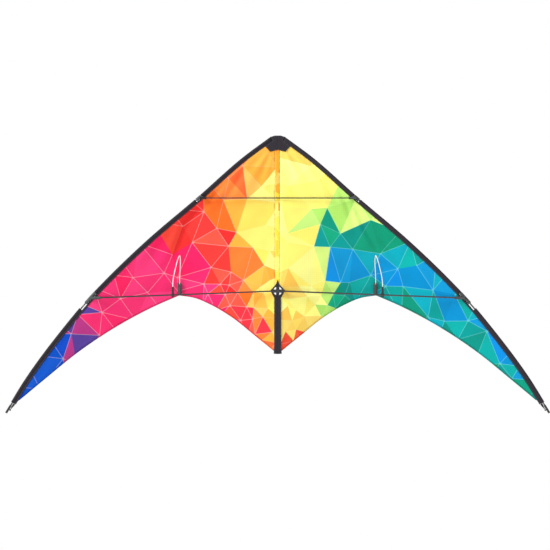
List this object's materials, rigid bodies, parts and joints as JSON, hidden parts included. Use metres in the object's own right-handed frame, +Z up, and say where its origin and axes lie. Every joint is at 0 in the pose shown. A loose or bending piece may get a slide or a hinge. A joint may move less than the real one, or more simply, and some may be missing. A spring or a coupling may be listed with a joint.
{
  "type": "two-line delta kite",
  "caption": "Swept delta sport kite with a framed, rainbow-printed sail, spreaders, stand-offs and wings that fold back along the spine.",
  "frame": {"origin": "middle of the moulded centre cross's flat front face, where the spine and the lower spreaders meet", "axes": "+X along the span to the right wing as seen from the flyer, +Y from the face to the back of the sail, +Z up the spine to the nose"},
  "size_m": [1.452, 0.0681, 0.7405],
  "materials": {
    "carbon_rod": "satin black rod",
    "white_rod": "satin white springy rod",
    "woven_tape": "black woven polyester tape",
    "cord": "black braided cord",
    "rubber": "matt dark grey moulded rubber",
    "moulded_plastic": "matt black moulding",
    "ferrule_metal": "drawn tube",
    "left_ripstop": "printed ripstop cloth, blue and pink to orange",
    "right_ripstop": "printed ripstop cloth, yellow and green to teal",
    "centre_ripstop": "doubled printed ripstop cloth"
  },
  "bodies": {
    "spine": {"spine_rod": "carbon_rod", "spine_end_cap": "moulded_plastic", "spine_sleeve_upper": "centre_ripstop", "spine_sleeve_lower": "centre_ripstop", "centre_tee": "moulded_plastic", "centre_patch": "woven_tape", "nose_patch": "woven_tape"},
    "tail_flap": {"tail_strap": "woven_tape"},
    "left_wing": {"left_sail": "left_ripstop", "left_trailing_edge_hem": "woven_tape", "left_leading_edge_sleeve": "woven_tape", "left_standoff_patch": "woven_tape", "left_upper_edge_rod": "carbon_rod", "left_lower_edge_rod": "carbon_rod", "left_ferrule": "ferrule_metal", "left_lower_fitting": "rubber", "left_lower_spreader": "carbon_rod", "left_trailing_edge_clip": "rubber", "left_tip_nock": "moulded_plastic", "left_tip_cord": "cord", "left_upper_fitting": "rubber"},
    "right_wing": {"right_sail": "right_ripstop", "right_trailing_edge_hem": "woven_tape", "right_leading_edge_sleeve": "woven_tape", "right_standoff_patch": "woven_tape", "right_upper_edge_rod": "carbon_rod", "right_lower_edge_rod": "carbon_rod", "right_ferrule": "ferrule_metal", "right_lower_fitting": "rubber", "right_lower_spreader": "carbon_rod", "right_trailing_edge_clip": "rubber", "right_tip_nock": "moulded_plastic", "right_tip_cord": "cord"},
    "left_standoff": {"left_standoff_socket": "moulded_plastic", "left_standoff_bow": "white_rod"},
    "right_standoff": {"right_standoff_socket": "moulded_plastic", "right_standoff_bow": "white_rod"},
    "upper_cross_rod": {"right_upper_fitting": "rubber", "upper_spreader": "carbon_rod"}
  },
  "joints": [
    {"name": "left_wing_fold", "type": "hinge", "parent": "spine", "child": "left_wing", "pos_m": [-0.0063, 0.0135, 0], "axis": [0, 0, -1], "range_deg": [0, 70], "deforming": ["nose_patch", "centre_patch"]},
    {"name": "right_wing_fold", "type": "hinge", "parent": "spine", "child": "right_wing", "pos_m": [0.0063, 0.0135, 0], "axis": [0, 0, 1], "range_deg": [0, 70], "deforming": ["nose_patch", "centre_patch"]},
    {"name": "left_standoff_swing", "type": "hinge", "parent": "left_wing", "child": "left_standoff", "pos_m": [-0.279, 0.0055, -0.01057], "axis": [0.9993, 0, 0.0379], "range_deg": [0, 100]},
    {"name": "right_standoff_swing", "type": "hinge", "parent": "right_wing", "child": "right_standoff", "pos_m": [0.279, 0.0055, -0.01057], "axis": [0.9993, 0, -0.0379], "range_deg": [0, 100]},
    {"name": "upper_spreader_swing", "type": "hinge", "parent": "right_wing", "child": "upper_cross_rod", "pos_m": [0.21042, 0.0135, 0.24727], "axis": [-0.7571, 0, 0.6533], "range_deg": [0, 60]},
    {"name": "tail_strap_fold", "type": "hinge", "parent": "spine", "child": "tail_flap", "pos_m": [0, 0.0127, -0.1674], "axis": [-1, 0, 0], "range_deg": [0, 110]}
  ]
}
